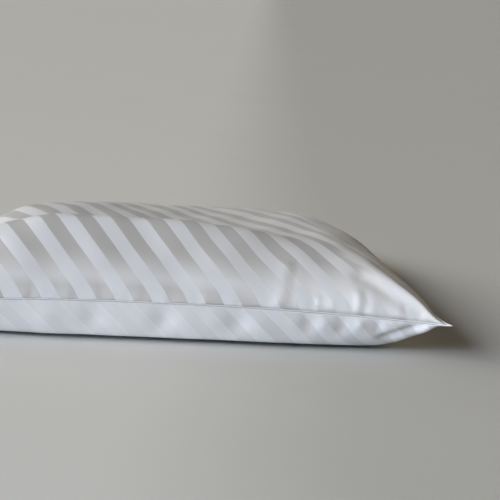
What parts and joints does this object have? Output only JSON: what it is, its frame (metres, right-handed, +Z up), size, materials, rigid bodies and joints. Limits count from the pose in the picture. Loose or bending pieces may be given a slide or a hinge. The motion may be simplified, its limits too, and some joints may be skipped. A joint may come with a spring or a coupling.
{
  "type": "pillowcase",
  "caption": "Filled pillowcase in pale satin cotton with diagonal stripes, lying flat with a raised near edge and small sewn ears at its corners.",
  "frame": {"origin": "middle of the underside, on the surface the pillow rests on", "axes": "+X along the long side, +Y away from the side with the raised crest, +Z up"},
  "size_m": [0.705, 0.607, 0.1426],
  "materials": {
    "cloth": "satin-woven cotton with diagonal stripes, soft sheen"
  },
  "bodies": {
    "root": {"pillowcase": "cloth"}
  },
  "joints": []
}
